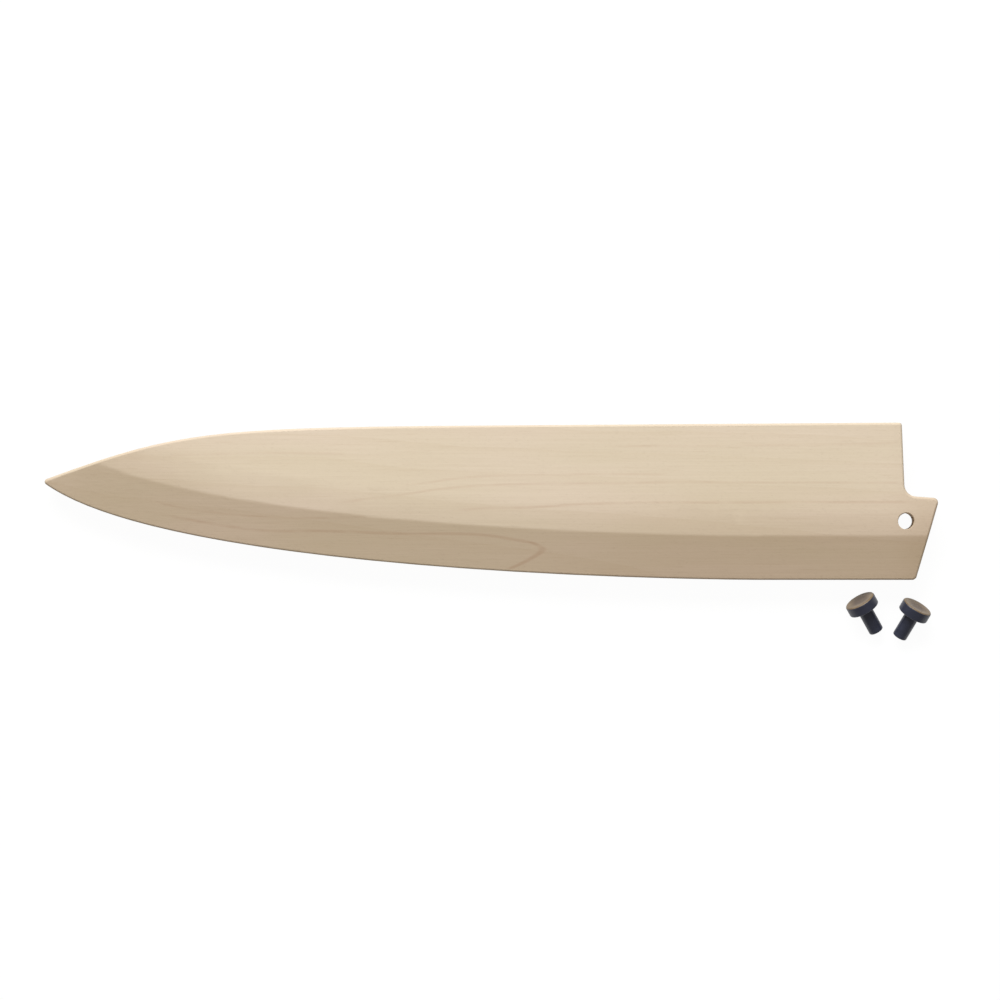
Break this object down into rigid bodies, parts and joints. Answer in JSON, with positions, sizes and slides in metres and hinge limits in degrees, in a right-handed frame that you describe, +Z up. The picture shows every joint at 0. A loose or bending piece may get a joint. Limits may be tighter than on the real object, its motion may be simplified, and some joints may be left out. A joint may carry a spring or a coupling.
{
  "type": "knife blade guard",
  "caption": "Flat bare-wood guard that slides over the blade of a long slicing knife, with a bevelled edge side, a stepped mouth with a drilled tab, and loose headed pins that lock it on.",
  "frame": {"origin": "on the resting surface, under the middle of the box around the guard and the pins that lie beside it", "axes": "+X along the guard from its pointed end to its mouth, +Y from the edge side to the spine side, +Z up, out of the front face"},
  "size_m": [0.2886, 0.0706, 0.0125],
  "materials": {
    "bare_wood": "bare planed wood, no lacquer",
    "dried_glue": "dried wood glue",
    "black_plastic": "smooth moulded plastic"
  },
  "bodies": {
    "guard": {"back_half": "bare_wood", "glue_line": "dried_glue", "front_half": "bare_wood"},
    "pin_body": {"locking_pin": "black_plastic"},
    "spare_body": {"spare_pin": "black_plastic"}
  },
  "joints": [
    {"name": "locking_pin_lift", "type": "slide", "parent": "guard", "child": "pin_body", "axis": [0, 0, 1], "range_m": [0, 0.04]},
    {"name": "spare_pin_lift", "type": "slide", "parent": "guard", "child": "spare_body", "axis": [0, 0, 1], "range_m": [0, 0.04]}
  ]
}
